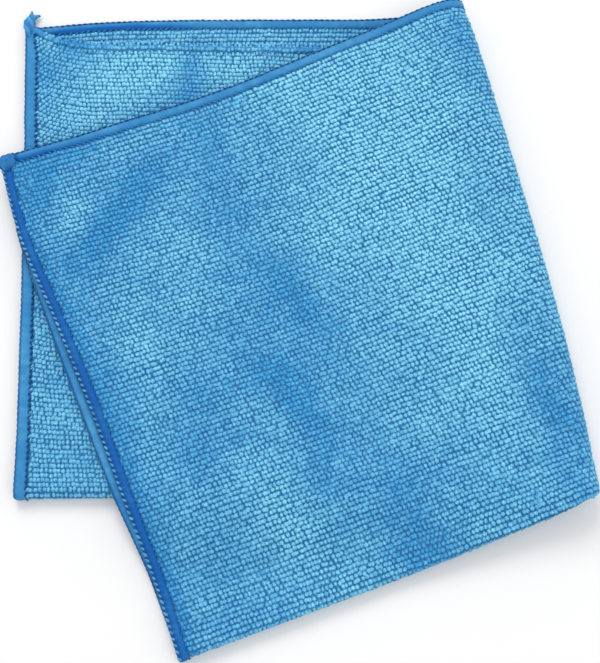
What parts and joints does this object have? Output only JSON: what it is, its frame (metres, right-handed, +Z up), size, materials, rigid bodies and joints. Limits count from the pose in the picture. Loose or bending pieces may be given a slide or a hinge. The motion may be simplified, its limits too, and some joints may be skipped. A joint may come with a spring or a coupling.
{
  "type": "microfibre cloth",
  "caption": "Looped microfibre cleaning cloth with overlocked edges, folded twice and lying flat.",
  "frame": {"origin": "middle of the bounding box, at the bottom, where the lowest layer lies on the surface", "axes": "+Z up from the surface; +X along the lower layer's top hem, from its free corner towards the slanted fold; +Y towards that hem"},
  "size_m": [0.2358, 0.2742, 0.0156],
  "materials": {
    "terry": "looped microfibre terry, light blue, matt",
    "edging_thread": "textured overlock thread, mid blue, faint sheen"
  },
  "bodies": {
    "root": {"cloth": "terry", "edging": "edging_thread", "thread_tail": "edging_thread"}
  },
  "joints": []
}
